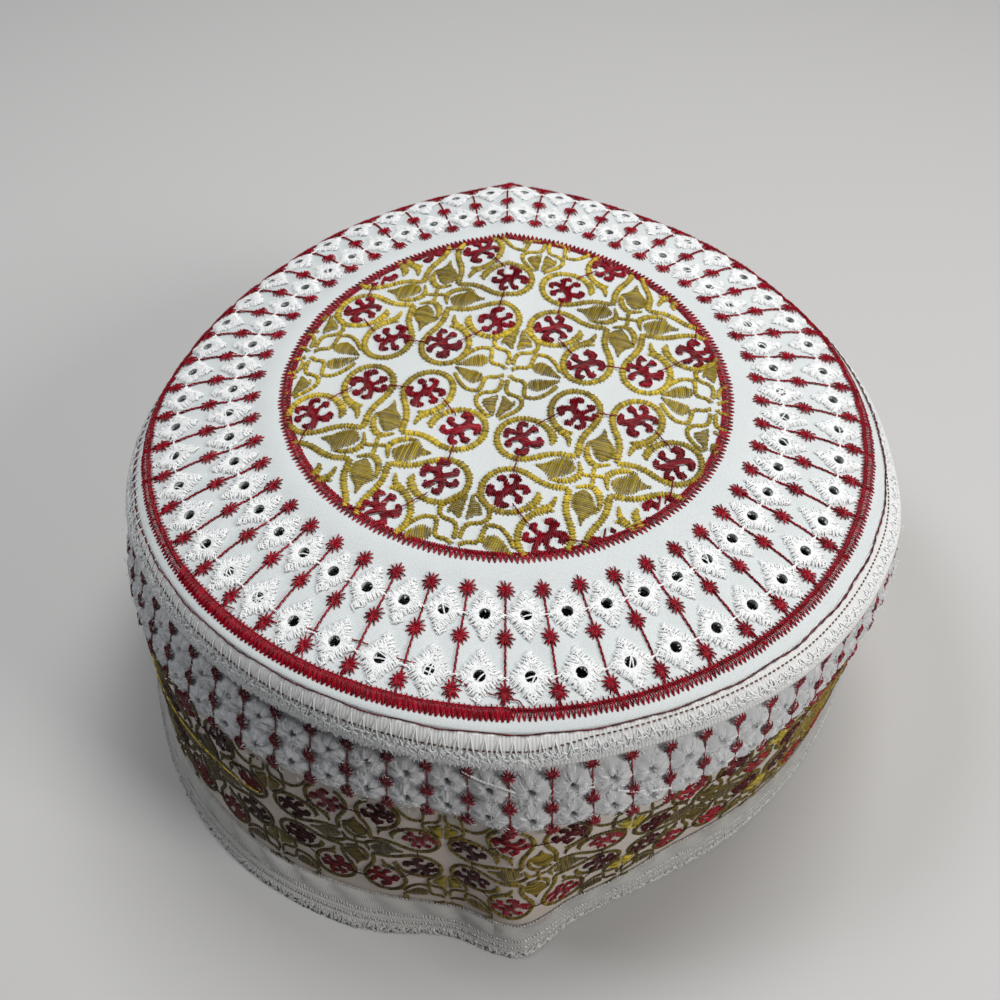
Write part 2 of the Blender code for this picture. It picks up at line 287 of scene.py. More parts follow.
class Finish:
    """A material on one Principled shader, and the nodes that vary it."""

    def __init__(self, name, color, **constants):
        self.material = bpy.data.materials.new(name)
        self.material.use_nodes = True
        self.tree = self.material.node_tree
        self.shader = self.tree.nodes["Principled BSDF"]
        self.set("Base Color", (*color, 1.0))
        for key, value in constants.items():
            self.set(key.replace("_", " "), value)

    def set(self, name, value):
        plug(value, self.shader.inputs[name])

    def node(self, kind, output=0, settings=None, **values):
        node = self.tree.nodes.new("ShaderNode" + kind)
        for key, value in (settings or {}).items():
            setattr(node, key, value)
        for key, value in values.items():
            plug(value, node.inputs[key.replace("_", " ")])
        return Val(self.tree, node.outputs[output])

    def mix(self, factor, one, two):
        node = self.tree.nodes.new("ShaderNodeMix")
        node.data_type = "RGBA"
        plug(factor, node.inputs[0])
        for slot, color in ((6, one), (7, two)):
            plug(color if isinstance(color, Val) else (*color, 1.0), node.inputs[slot])
        return Val(self.tree, node.outputs[2])

    def attribute(self, name):
        return self.node("Attribute", output=2, settings={"attribute_name": name})

    def bump(self, height, strength, distance):
        self.set("Normal", self.node("Bump", Height=height, Strength=strength, Distance=distance))

    def noise(self, scale):
        where = self.node("TexCoord", output=3)
        return self.node("TexNoise", Vector=where, Scale=scale, Detail=2.0)


def cotton(name, color, shade, weave=0.8, twist=0.6, hole=None):
    """Cotton cloth: a fine slanting weave, soft creases and a little unevenness of colour. hole
    is a near-black painted shade deep in the pin holes, which are only dents in the cloth."""
    cloth = Finish(name, color, Roughness=0.85, Sheen_Weight=0.25, Sheen_Roughness=0.5)
    flat = cloth.node("UVMap", settings={"uv_map": "flat"})
    turned = cloth.node("VectorRotate", Vector=flat, Angle=twist)
    twill = cloth.node("TexWave", settings={"wave_type": "BANDS"}, Vector=turned,
                       Scale=weave, Distortion=0.6, Detail=1.0)
    crease = cloth.noise(45.0)
    spots = cloth.noise(160.0)
    uneven = (crease * 0.7 + spots * 0.5 - 0.35).clamp(0.0, 1.0)
    shown = cloth.mix(uneven, color, shade)
    # Painted shade: near black where the pit attribute marks a pin hole.
    if hole:
        shown = cloth.mix(cloth.attribute("painted_pit_shade"), shown, hole)
    cloth.set("Base Color", shown)
    cloth.bump(twill + crease * 4.0 + spots, 0.35, 0.00025)
    return cloth.material


def mesh_piece(name, points, faces, material, flat=None):
    """A mesh object from arrays of points, of four-sided faces, and of places on the flat cloth."""
    mesh = bpy.data.meshes.new(name)
    mesh.vertices.add(len(points))
    mesh.vertices.foreach_set("co", np.ascontiguousarray(points, np.float32).ravel())
    mesh.loops.add(faces.size)
    mesh.loops.foreach_set("vertex_index", faces.astype(np.int32).ravel())
    mesh.polygons.add(len(faces))
    mesh.polygons.foreach_set("loop_start", np.arange(0, faces.size, 4, dtype=np.int32))
    mesh.update(calc_edges=True)
    if flat is not None:
        layer = mesh.uv_layers.new(name="flat")
        layer.data.foreach_set("uv", np.asarray(flat, np.float32)[faces.ravel()].ravel())
    mesh.validate()
    mesh.shade_smooth()
    mesh.materials.append(material)
    piece = bpy.data.objects.new(name, mesh)
    bpy.context.scene.collection.objects.link(piece)
    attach(piece, "root")
    return piece


def point_values(piece, name, values):
    """Give each point of a piece a number, which its material reads by name."""
    layer = piece.data.attributes.new(name, "FLOAT", "POINT")
    layer.data.foreach_set("value", np.asarray(values, np.float32).ravel())


def strip_faces(first, second):
    """Four-sided faces between two closed loops of point numbers, or two stacks of them."""
    return np.stack([first, np.roll(first, -1, -1), np.roll(second, -1, -1), second],
                    axis=-1).reshape(-1, 4)


CROWN_ROUND = 200
crown_rings = [*np.linspace(1.2, 45.0, 24), INNER_RING, 48.0, 49.8, 51.7, *CELL_EDGES,
               77.0, 78.5, 79.4, 80.2]
crown_azimuths = FIRST_LINE + turns(CROWN_ROUND)
HOLE_SIDES = 16
HOLE_LONG = 1.15             # the holes are a little longer outwards than they are wide
CELL_LOOPS = (0.0, 0.25, 0.5, 0.75, 1.0)


def rays(turn):
    """Steps of length one, each at its own turn in radians."""
    return np.stack([np.cos(turn), np.sin(turn)], axis=1)


# Corners of a cell's outline, one for each corner of its hole
hole_shape = rays(np.radians(45 + turns(HOLE_SIDES)))
square = hole_shape / np.abs(hole_shape).max(axis=1)[:, None]
square = np.where(np.abs(square) > 0.99, square,
                  np.sign(square) * np.round(np.abs(square) * 2) / 2)


def crown_sheet(depth):
    """Flat points and faces of one layer of the crown: rings, with a hole in each cell."""
    points = [np.zeros((1, 2))] + [around(crown_azimuths, out) for out in crown_rings]
    loops = 1 + np.arange(len(crown_rings) * CROWN_ROUND).reshape(-1, CROWN_ROUND)
    first = loops[0]
    faces = [np.stack([np.zeros_like(first), np.roll(first, -2), np.roll(first, -1), first],
                      axis=1)[::2]]
    for out, one, two in zip(crown_rings, loops, loops[1:]):
        if out not in CELL_EDGES[:2]:
            faces.append(strip_faces(one, two))
    total = 1 + loops.size
    for middle, low, high in zip(EYELET_ROWS, CELL_EDGES, CELL_EDGES[1:]):
        for k in range(EYELETS):
            azimuth = FIRST_LINE + (k + 0.5) * CELL_TURN
            reach = np.where(square[:, 1] > 0, high - middle, middle - low)
            corner = around(azimuth + square[:, 0] * CELL_TURN / 2, middle + square[:, 1] * reach)
            sideways = np.degrees(hole_shape[:, 0] * EYELET_R / middle)
            hole = around(azimuth + sideways, middle + hole_shape[:, 1] * EYELET_R * HOLE_LONG)
            points += [corner * (1 - t) + hole * t for t in CELL_LOOPS]
            loops = total + np.arange(len(CELL_LOOPS) * HOLE_SIDES).reshape(-1, HOLE_SIDES)
            faces += [strip_faces(one, two) for one, two in zip(loops, loops[1:])]
            total += loops.size
    flat = np.concatenate(points)
    return flat, np.concatenate(faces), crown_face.at(flat, -depth)


flat, faces, outer = crown_sheet(0.0)
_, _, lining = crown_sheet(CROWN_CLOTH)
rings_end = 1 + CROWN_ROUND * len(crown_rings)
edge = np.arange(rings_end - CROWN_ROUND, rings_end)
holes = np.arange(rings_end, len(flat)).reshape(-1, len(CELL_LOOPS), HOLE_SIDES)[:, -1]
rims = [strip_faces(edge, edge + len(flat)), strip_faces(holes, holes + len(flat))]
white_cotton = cotton("white_twill", (0.76, 0.81, 0.82), (0.66, 0.70, 0.72))
crown = mesh_piece(
    "crown_cloth", np.concatenate([outer, lining]),
    np.concatenate([faces, faces[:, ::-1] + len(flat)] + rims), white_cotton,
    np.concatenate([flat, flat]))
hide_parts("crown_top")

# Openwork round each eyelet: white silk overcast from the hole's edge out to a diamond, with
# stitches of uneven length, and a few strands that reach over to the next diamond.
SEED = 7
rng = np.random.default_rng(SEED)
sewn = {"crown_top": [], "edge_welt": [], "side_band": [], "hem_band": []}
# Share of a stitch's width at three or four places along it, and where those places are
BLUNT = (0.7, 1.0, 0.75)
LONG = (0.7, 1.0, 1.0, 0.75)
POINTED = (0.8, 1.0, 0.7, 0.2)
ALONG = {3: (0.0, 0.5, 1.0), 4: (0.0, 0.28, 0.72, 1.0)}
THREAD_SINK = 0.3            # sides of a stitch below its base, and its top above, in widths
THREAD_TOP = 0.25


def silk(name, color, dark, roughness=0.30, specular=0.32):
    """Silk thread: each stitch has its own tone, and fine twist breaks up the light."""
    thread = Finish(name, color, Roughness=roughness, Specular_IOR_Level=specular)
    grain = thread.noise(900.0)
    tone = (thread.attribute("tone") + grain * 0.3 - 0.15).clamp(0, 1)
    thread.set("Base Color", thread.mix(tone, dark, color))
    thread.bump(grain, 0.3, 0.00015)
    return thread.material


def square_to(way):
    """Flat steps turned by a quarter."""
    return np.stack([-way[..., 1], way[..., 0]], axis=-1)


def stitch_piece(name, face, groups, material, node, painted_light=None):
    """All stitches of one thread as a mesh sewn to a node. A group is pairs of starts and ends,
    width, height, base (a number or a function of places) and, unless blunt, the share of the
    width along a stitch. The last argument gives how brightly the thread is painted at a place,
    from 0 to 1, as painted light, shade and sheen."""
    points, faces, tones = [], [], []
    total = 0
    for pairs, width, height, base, *taper in groups:
        taper = np.array(taper[0] if taper else BLUNT)
        starts, ends = (np.vstack(side) for side in zip(*pairs))
        count, parts = len(starts), len(taper)
        places = np.array(ALONG[parts])
        rise = (places > 0) & (places < 1)
        width = np.broadcast_to(width, count)[:, None, None]
        height = np.broadcast_to(height, count) * rng.uniform(0.85, 1.15, count)
        run = ends - starts
        length = np.linalg.norm(run, axis=1, keepdims=True)
        side = square_to(run) / np.maximum(length, 1e-6)
        centre = starts[:, None] + run[:, None] * places[None, :, None]
        across = side[:, None] * width * 0.5 * taper[None, :, None]
        low = base(centre) if callable(base) else np.broadcast_to(base, count)[:, None]
        lift = low + height[:, None] * rise
        sunk = lift - width[:, :, 0] * THREAD_SINK
        left = face.at(centre - across, sunk)
        top = face.at(centre, lift + width[:, :, 0] * THREAD_TOP)
        right = face.at(centre + across, sunk)
        points.append(np.stack([left, top, right], axis=2).reshape(-1, 3))
        corners = np.array((0, 1, 4, 3, 1, 2, 5, 4)) + np.arange(parts - 1)[:, None] * 3
        cells = total + np.arange(count)[:, None, None] * 3 * parts
        faces.append((cells + corners).reshape(-1, 4))
        total += 3 * parts * count
        # Painted light: each stitch's tone is scaled by the painted light and shade at its start.
        tone = rng.uniform(0.15, 1.0, count) * (painted_light(starts) if painted_light else 1.0)
        tones.append(np.repeat(tone, 3 * parts))
    points = np.concatenate(points)
    points[:, 2] = np.maximum(points[:, 2], 0.0)
    piece = mesh_piece(name, points, np.concatenate(faces), material)
    point_values(piece, "tone", np.concatenate(tones))
    sewn[node].append(piece)


def fuzz(places, reach):
    """Short stray fibres centred on the places, each lying its own way."""
    way = rng.uniform(-math.pi, math.pi, len(places))
    half = rng.uniform(0.5, 1.0, len(places)) * reach
    ray = np.stack([np.sin(way) * half, np.cos(way) * half], axis=1)
    return places - ray, places + ray


DIAMOND_STITCHES = 48
EDGE_STITCHES = 17
SPECKS = 50
FRAYS = 7
STRAY_STRANDS = (0,) * 9 + (1, 1, 2, 2, 5)
radial, edging, links, frays, specks = [], [], [], [], []
for middle, wide in zip(EYELET_ROWS, DIAMOND_WIDE):
    for k in range(EYELETS):
        azimuth = FIRST_LINE + (k + 0.5) * CELL_TURN
        centre, out = around(azimuth, middle), around(azimuth, 1.0)
        side = square_to(out)
        basis = np.stack([out, side])
        turn = np.arange(DIAMOND_STITCHES) * 2 * math.pi / DIAMOND_STITCHES
        ray = rays(turn + rng.uniform(-0.05, 0.05, DIAMOND_STITCHES))
        reach = 0.95 / (np.abs(ray) / (DIAMOND_OUT, wide)).sum(axis=1, keepdims=True)
        radial.append((centre + ray * (EYELET_R - 0.12) @ basis, centre + ray * reach @ basis))
        for a, b in ((1, 1), (-1, 1), (-1, -1), (1, -1)):
            t = (np.arange(EDGE_STITCHES)[:, None] + 0.5) / EDGE_STITCHES
            edge = np.concatenate([a * DIAMOND_OUT * t, b * wide * (1 - t)], axis=1)
            square = np.array((a * wide, b * DIAMOND_OUT)) / math.hypot(wide, DIAMOND_OUT)
            wobble = rng.uniform(-0.22, 0.22, (4, EDGE_STITCHES, 1))
            inner = edge - square * (1.3 + 2 * wobble[0]) + wobble[2] * (1, -a * b)
            outer = edge + square * (0.2 + 1.4 * wobble[1]) + wobble[3] * (1, -a * b)
            edging.append((centre + inner @ basis, centre + outer @ basis))
        spot = rng.uniform(-1, 1, (SPECKS, 2))
        spot = np.stack([spot.sum(axis=1) * 0.5 * DIAMOND_OUT,
                         (spot[:, 0] - spot[:, 1]) * 0.5 * wide], axis=1)
        spot = spot[np.hypot(*spot.T) > EYELET_R + 0.5]
        specks.append(fuzz(centre + spot @ basis, 0.5))
        ray = rays(rng.uniform(0, 2 * math.pi, FRAYS))
        cross = ray[:, ::-1] * (1, -1) * rng.uniform(-0.6, 0.6, (FRAYS, 1))
        frays.append((centre + ray * 1.5 @ basis,
                      centre + (ray * rng.uniform(0.5, 1.1, (FRAYS, 1)) + cross) @ basis))
        for way in (-1, 1):
            corner = centre + side * way * (wide - 0.5)
            for strand in range(2):
                skew = out * rng.uniform(-0.5, 0.5)
                links.append((corner - skew, corner + side * way * 1.9 + skew))
        for strand in range(rng.choice(STRAY_STRANDS)):
            way = rng.uniform(0, 2 * math.pi)
            across = math.cos(way) * out + math.sin(way) * side
            off = rng.uniform(-0.8, 0.8) * (math.cos(way) * side - math.sin(way) * out)
            links.append((centre + off - across * 1.3, centre + off + across * 1.3))
white_silk = silk("white_silk", (0.97, 0.98, 0.98), (0.84, 0.87, 0.89), roughness=0.32)
stitch_piece("eyelet_diamonds", crown_face, [
    (radial, 0.50, 0.25, 0.1), (edging, 0.32, 0.3, 0.3), (specks, 0.17, 0.2, 0.45),
    (frays, 0.24, 0.1, -0.35), (links, 0.28, 0.4, 0.15)], white_silk, "crown_top")

# Lines of stars: each line is a two-ply crimson thread that runs out from the middle through
# three small stars and ends at the outer ring.
STAR_ROWS = (53.7, 63.1, 72.9)
STAR_R = 1.9


def star(centre, out, radius, points):
    """Stitches of one star: pointed spikes from near the middle."""
    turn = np.arange(points) * 2 * math.pi / points + rng.uniform(-0.08, 0.08, points)
    length = radius * rng.uniform(0.86, 1.08, points)
    ray = np.cos(turn)[:, None] * out * 1.12 + np.sin(turn)[:, None] * square_to(out) * 0.95
    return centre - ray * 0.15, centre + ray * length[:, None]


def plied(start, end, pitch=1.25, sway=0.12):
    """Stitches of a twisted thread between two points."""
    run = end - start
    length = math.hypot(*run)
    along = run / length
    at = np.arange(0, length, pitch / 2)[:, None]
    shift = square_to(along) * np.where(np.arange(len(at)) % 2 == 0, sway, -sway)[:, None]
    first = start + along * at - shift
    return first, first + along * pitch + 2 * shift


stars, lines = [], []
for azimuth in FIRST_LINE + turns(EYELETS):
    out = around(azimuth, 1.0)
    stars += [star(out * r, out, STAR_R, 12) for r in STAR_ROWS]
    lines += [plied(out * r, out * s) for r, s in zip(STAR_ROWS, STAR_ROWS[1:])]
    end = out * RING_R + square_to(out) * rng.uniform(-1.2, 1.2)
    lines.append(plied(out * STAR_ROWS[-1], end, 0.9))
crimson = silk("crimson_silk", (0.36, 0.004, 0.018), (0.065, 0.0006, 0.003), specular=0.16)
stitch_piece("star_lines", crown_face, [
    (stars, 0.50, 0.40, 0.1, POINTED), (lines, 0.38, 0.35, 0.12)], crimson, "crown_top")

# The two crimson rings of the crown. The inner one is a dense zigzag on a chain. The outer one is
# a chain with short teeth inwards and long paired teeth outwards, filled thick at the front left.
INNER_TEETH = 290
OUTER_TEETH = 520
FILLED_FROM, FILLED_TO = 308, 1    # azimuths, through the front left
turn = turns(INNER_TEETH)
half = 180.0 / INNER_TEETH
jitter = rng.uniform(-0.15, 0.15, (4, INNER_TEETH))
low, high = INNER_RING - 1.25 + jitter[0], INNER_RING + 1.3 + jitter[1]
zigzag = [(around(turn, low), around(turn + 1.3 * half, high)),
          (around(turn + 1.3 * half, high), around(turn + 2 * half, np.roll(low, -1)))]
turn = turns(OUTER_TEETH)
pitch = 360.0 / OUTER_TEETH
long_tip = RING_R + 1.15 + rng.uniform(-0.15, 0.15, OUTER_TEETH)
short_tip = RING_R - 1.7 + rng.uniform(-0.15, 0.15, OUTER_TEETH)
teeth = [(around(turn + 0.08 * pitch, RING_R - 0.9), around(turn + 0.41 * pitch, long_tip)),
         (around(turn + 0.86 * pitch, RING_R - 0.9), around(turn + 0.51 * pitch, long_tip))]
spikes = [(around(turn + 0.46 * pitch, RING_R - 0.6), around(turn + 0.46 * pitch, short_tip))]
fill = turn[(turn > FILLED_FROM) | (turn < FILLED_TO)]
filled = [(around(fill + q * pitch, RING_R - 1.3), around(fill + (q + 0.2) * pitch, RING_R + out))
          for q, out in ((0.0, 0.5), (0.22, 0.95), (0.45, 1.2), (0.68, 0.9))]


def chain(ring, inner, outer, step, reach):
    """Slanting stitches round a ring, from and to so far off it, each reaching so many degrees."""
    turn = np.arange(0, 360, step)
    return [(around(turn, ring + inner), around(turn + reach, ring + outer))]


stitch_piece("crimson_rings", crown_face, [
    (zigzag, 0.40, 0.4, 0.1), (chain(INNER_RING, -1.25, -0.35, 0.6, 0.6), 0.40, 0.35, 0.1),
    (teeth, 0.31, 0.4, 0.08), (spikes, 0.40, 0.3, 0.1, POINTED), (filled, 0.48, 0.6, 0.1),
    (chain(RING_R, -1.1, -0.35, 0.36, 0.5), 0.44, 0.5, 0.15)], crimson, "crown_top")

# The arabesque: gold cords in satin stitch wind round crimson palmettes, with pinwheels of four
# leaves and crosses of eight half leaves between them. One square repeat serves crown and band.
# Places in the repeat are in cells, the distance between a palmette group and a leaf centre.
CORD_LINE = (  # from the tail under a palmette, round it and past the pinwheel to its middle
    (0.27, 0.44), (0.32, 0.428), (0.38, 0.447), (0.435, 0.49), (0.487, 0.56), (0.522, 0.66),
    (0.512, 0.79), (0.44, 0.895), (0.33, 0.94), (0.21, 0.925), (0.11, 0.85), (0.065, 0.75),
    (0.063, 0.66), (0.095, 0.56), (0.15, 0.455), (0.182, 0.34), (0.178, 0.25), (0.186, 0.186))
CORD_WIDTHS = (0.4, 1.1, 1.3, 1.15, *(1.0,) * 12, 1.1, 0.9)   # in widths of the cord
LEAF_HOOK = ((0.36, 0.432), (0.318, 0.40), (0.29, 0.35), (0.277, 0.285))
HOOK_WIDTHS = (1.3, 1.1, 0.8, 0.4)
LEAF = ((0.018, 0.541), (0.060, 0.446), (0.122, 0.373), (0.158, 0.296), (0.142, 0.224),
        (0.085, 0.180), (0.028, 0.175), (-0.022, 0.210), (-0.058, 0.265), (-0.078, 0.310),
        (-0.115, 0.330), (-0.122, 0.375), (-0.062, 0.415), (-0.012, 0.472))
CRESCENT = ((-0.107, 0.345), (-0.110, 0.275), (-0.092, 0.205), (-0.055, 0.150), (-0.005, 0.118),
            (0.055, 0.128), (0.130, 0.153))
CRESCENT_WIDTHS = (0.5, 0.9, 1.05, 1.05, 0.95, 0.7, 0.3)
STEM = ((0.0, 0.115), (-0.006, 0.06), (0.0, 0.012))
STEM_WIDTHS = (0.6,)
JUMPS = (((-0.10, 0.70), (0.10, 0.70)), ((0.45, 0.62), (0.62, 0.45)))  # thread between palmettes
# The half leaf, and the cords beside it, of a cross's wide arms and of its narrow arms
PETALS = (
    ((0.51, 0.018), (0.445, 0.095), (0.385, 0.155), (0.32, 0.188), (0.26, 0.175), (0.222, 0.125),
     (0.225, 0.075), (0.265, 0.038), (0.35, 0.022), (0.43, 0.015)),
    ((0.565, 0.015), (0.495, 0.080), (0.425, 0.145), (0.355, 0.155), (0.345, 0.105), (0.315, 0.06),
     (0.30, 0.02), (0.45, 0.012)))
PETAL_CORDS = (
    (((0.03, 0.04), (0.09, 0.078), (0.16, 0.085), (0.198, 0.125), (0.205, 0.20), (0.222, 0.272)),
     ((0.225, 0.275), (0.335, 0.268), (0.43, 0.19), (0.50, 0.085))),
    (((0.57, 0.05), (0.505, 0.13), (0.43, 0.20), (0.345, 0.218), (0.285, 0.165), (0.26, 0.07),
      (0.20, 0.03), (0.10, 0.025)),))
PETAL_WIDTHS = (0.68,)
PALMETTE = ((0.0, 0.60), (0.10, 0.80), (0.36, 0.99), (0.64, 0.90), (0.74, 0.66), (0.60, 0.50),
            (0.48, 0.62), (0.36, 0.62), (0.24, 0.42), (0.24, 0.28), (0.50, 0.34), (0.80, 0.40),
            (1.0, 0.20), (0.92, -0.04), (0.70, -0.06), (0.62, 0.08), (0.42, 0.04), (0.24, -0.10),
            (0.26, -0.36), (0.46, -0.50), (0.62, -0.36), (0.82, -0.46), (0.80, -0.72),
            (0.56, -0.94), (0.28, -0.96), (0.12, -0.80), (0.0, -0.62))
PALMETTE_R = 0.18
PALMETTE_AT = 0.295
PALMETTE_LEAST = 0.3         # share of a palmette in the field, below which it is left out
# Quarters of a group whose palmettes are painted lit, by row of groups: middle, upper, lower.
# On the band the other palmettes get a painted shade of dark red.
BRIGHT_QUARTERS = ((1,), (2,), (0, 1)) * 3
SATIN_LEAST = 0.3            # shorter stitches are left out
SATIN_ROW = 0.66             # from one row of stitches to the next, in pitches


def curve(points, parts, closed=False):
    """A smooth line through the points, with so many parts between neighbours."""
    p = np.array(points, float)
    if closed:
        p = np.concatenate([p[-1:], p, p[:2]])
    else:
        p = np.concatenate([2 * p[:1] - p[1:2], p, 2 * p[-1:] - p[-2:-1]])
    t = np.arange(parts)[None, :, None] / parts
    a, b, c, d = p[:-3, None], p[1:-2, None], p[2:-1, None], p[3:, None]
    line = 0.5 * (2 * b + (c - a) * t + (2 * a - 5 * b + 4 * c - d) * t ** 2
                  + (3 * b - a - 3 * c + d) * t ** 3)
    line = line.reshape(-1, p.shape[1])
    return line if closed else np.concatenate([line, p[-2:-1]])


def satin(outline, direction, pitch):
    """Parallel stitches that fill an outline, square to the given direction."""
    c, s = math.cos(direction), math.sin(direction)
    turned = outline @ np.array(((c, -s), (s, c)))
    x, y = turned.T
    x1, y1 = np.roll(x, -1), np.roll(y, -1)
    starts, ends = [], []
    for level in np.arange(y.min() + pitch * 0.2, y.max(), pitch * SATIN_ROW):
        crossing = (y <= level) != (y1 <= level)
        at = np.sort((x + (level - y) * (x1 - x) / np.where(y1 == y, 1, y1 - y))[crossing])
        for a, b in zip(at[::2], at[1::2]):
            if b - a > SATIN_LEAST:
                wobble = rng.uniform(-0.14, 0.14, 3)
                starts.append((a + wobble[0], level + wobble[2] * 0.3))
                ends.append((b + wobble[1], level - wobble[2] * 0.3))
    back = np.array(((c, s), (-s, c)))
    return np.reshape(starts, (-1, 2)) @ back, np.reshape(ends, (-1, 2)) @ back


def overcast(line, width, pitch):
    """Zigzag satin stitches across a line, of the given width at each of its points."""
    step = np.linalg.norm(np.diff(line, axis=0), axis=1)
    way = np.concatenate([[0], np.cumsum(step)])
    at = np.arange(pitch / 4, way[-1], pitch / 2)
    x, y = np.interp(at, way, line[:, 0]), np.interp(at, way, line[:, 1])
    wide = np.interp(at, way, width)
    along = np.stack([np.gradient(x), np.gradient(y)], axis=1)
    along = along / np.linalg.norm(along, axis=1, keepdims=True)
    ragged = np.where(np.arange(len(at)) % 3 == 0, 1.16, 0.92)
    reach = (wide * 0.5 * ragged * rng.uniform(0.88, 1.12, len(at)))[:, None]
    lean = np.where(np.arange(len(at)) % 2 == 0, pitch * 0.32, -pitch * 0.05)[:, None]
    middle, half = np.stack([x, y], axis=1), square_to(along) * reach + along * lean
    return middle - half, middle + half


class Arabesque:
    """The repeat laid on a cloth. origin is a palmette group; across and up are one cell."""

    def __init__(self, origin, across, up, cord, pitch, inside, slip=(0.0, 0.0)):
        self.origin, self.basis = np.array(origin), np.array((across, up))
        self.slip = np.array(slip)
        self.cord, self.pitch, self.inside = cord, pitch, inside
        self.gold, self.leaves, self.petals, self.threads = [], [], [], []
        self.crimson, self.deep = [], []

    def place(self, points, site, quarter=0, mirror=False):
        """The points of one motif, in cells, put on the cloth."""
        p = np.array(points, float)
        if mirror:
            p = p * (1, -1)
        c, s = ((1, 0), (0, 1), (-1, 0), (0, -1))[quarter]
        turned = np.stack([p[:, 0] * c - p[:, 1] * s, p[:, 0] * s + p[:, 1] * c], axis=1)
        return self.origin + (turned + site) @ self.basis

    def keep(self, group, starts, ends):
        """Add the stitches that lie whole inside the embroidered field."""
        inside = self.inside(starts) & self.inside(ends)
        group.append((starts[inside], ends[inside]))

    def fill(self, group, outline, lean, *where):
        """Stitches that fill an outline, leaning by so much from its quarter's own way."""
        shape = self.place(curve(outline, 4, closed=True), *where)
        heading = where[1] * math.pi / 2 + math.atan2(*self.basis[0][::-1])
        self.keep(group, *satin(shape, heading + lean, self.pitch))

    def couch(self, line, widths, *where, parts=4):
        """A gold cord along a line, as wide as the widths at even steps along it."""
        line = self.place(curve(line, parts), *where)
        wide = np.interp(np.linspace(0, len(widths) - 1, len(line)), range(len(widths)), widths)
        self.keep(self.gold, *overcast(line, wide * self.cord, self.pitch))

    def pinwheel(self, site):
        """Four leaves, and the cords that run between them and round four pairs of palmettes."""
        cord, hook = np.array(CORD_LINE), np.array(LEAF_HOOK)
        for quarter in range(4):
            where = site, quarter
            self.couch(cord, CORD_WIDTHS, *where)
            self.couch(cord[:, ::-1], CORD_WIDTHS, *where)
            self.couch(hook[:, ::-1] if quarter % 2 else hook, HOOK_WIDTHS, *where)
            self.fill(self.leaves, LEAF, -0.15, *where)
            self.couch(CRESCENT, CRESCENT_WIDTHS, *where)
            self.couch(STEM, STEM_WIDTHS, *where, parts=3)
            for line in JUMPS:
                self.keep(self.threads, *plied(*self.place(line, *where), 0.9))

    def cross(self, site):
        """Four pairs of half leaves round a plain middle, which may lie a little off its place."""
        for quarter in range(4):
            group = self.petals if quarter % 2 else self.leaves
            for mirror in (False, True):
                where = site + self.slip, quarter, mirror
                lean = math.pi / 2 + (0.2 if mirror else -0.2)
                self.fill(group, PETALS[quarter % 2], lean, *where)
                for line in PETAL_CORDS[quarter % 2]:
                    self.couch(line, PETAL_WIDTHS, *where)

    def palmettes(self, site):
        """The four crimson palmettes of a group, each turned its own way."""
        half = np.array(PALMETTE)
        whole = np.concatenate([half, half[-2:0:-1] * (-1, 1)])
        for quarter in range(4):
            turn = math.pi / 4 + quarter * math.pi / 2 + rng.uniform(-0.15, 0.15)
            c, s = math.cos(turn), math.sin(turn)
            shape = curve(whole, 3, closed=True) @ np.array(((c, s), (-s, c))) * PALMETTE_R
            corner = np.array((c, s)) * PALMETTE_AT * math.sqrt(2)
            placed = self.place(shape + corner, site)
            heading = rng.choice((0.25, math.pi / 2 - 0.2))
            if self.inside(placed).mean() < PALMETTE_LEAST:
                continue
            group = self.crimson if quarter in BRIGHT_QUARTERS[int(site[1])] else self.deep
            self.keep(group, *satin(placed, heading, self.pitch * 0.82))

    def lay(self, across, up):
        """The repeat at each site, as cords, leaves, half leaves, two of palmettes and threads."""
        for i in across:
            for j in up:
                site = np.array((i, j), float)
                if (i + j) % 2 == 0:
                    self.palmettes(site)
                elif i % 2 == 0:
                    self.cross(site)
                else:
                    self.pinwheel(site)
        return self.gold, self.leaves, self.petals, self.crimson, self.deep, self.threads


roundel = Arabesque(
    origin=(0.46 + 4.68, -0.14 + 22.96), across=(21.54, -3.46), up=(4.68, 22.96), cord=1.45,
    pitch=0.68, inside=lambda p: np.hypot(*p.T) < INNER_RING + 0.2, slip=(-0.02, 0.05))
cords, leaves, petals, bright, deep, jumps = roundel.lay(range(-4, 5), range(-4, 5))


def painted_sheen(places):
    """Painted sheen: the gold is painted brighter in some patches of the roundel than in others."""
    x, y = places.T
    return 0.68 + 0.32 * np.sin(x / 8.0 + 1.0 + y / 19.0) * np.sin(y / 7.0 - x / 23.0)


gold_silk = silk("gold_silk", (0.88, 0.66, 0.045), (0.12, 0.080, 0.001), specular=0.34)
# Painted sheen, brighter in patches, on the roundel's cords, leaves and palmettes; the leaves are
# also darker.
stitch_piece("roundel_gold", crown_face, [(cords, 0.34, 0.36, 0.1, LONG)], gold_silk,
             "crown_top", painted_sheen)
stitch_piece("roundel_leaves", crown_face, [
    (leaves, 0.38, 0.4, 0.08, LONG), (petals, 0.38, 0.4, 0.08, LONG)], gold_silk, "crown_top",
    lambda places: 0.52 * painted_sheen(places))
stitch_piece("roundel_palmettes", crown_face, [
    (bright, 0.42, 0.45, 0.08, LONG), (deep, 0.42, 0.45, 0.08, LONG), (jumps, 0.28, 0.25, 0.5)],
    crimson, "crown_top", painted_sheen)

# The welt: a folded strip of ribbed cotton between crown and band. White strands are overcast
# across it, and dark crimson running stitches hold its two edges. A fluffy ridge of white
# stitches covers the seam below.
WELT_START = 80.2
WELT_CLOTH = 2.0
WELT_ROUND = 500


def by_azimuth(azimuth, known, values):
    """Values at any azimuths, read between those known from -180 to 180 degrees."""
    return np.interp((azimuth + 180) % 360 - 180, known, values)


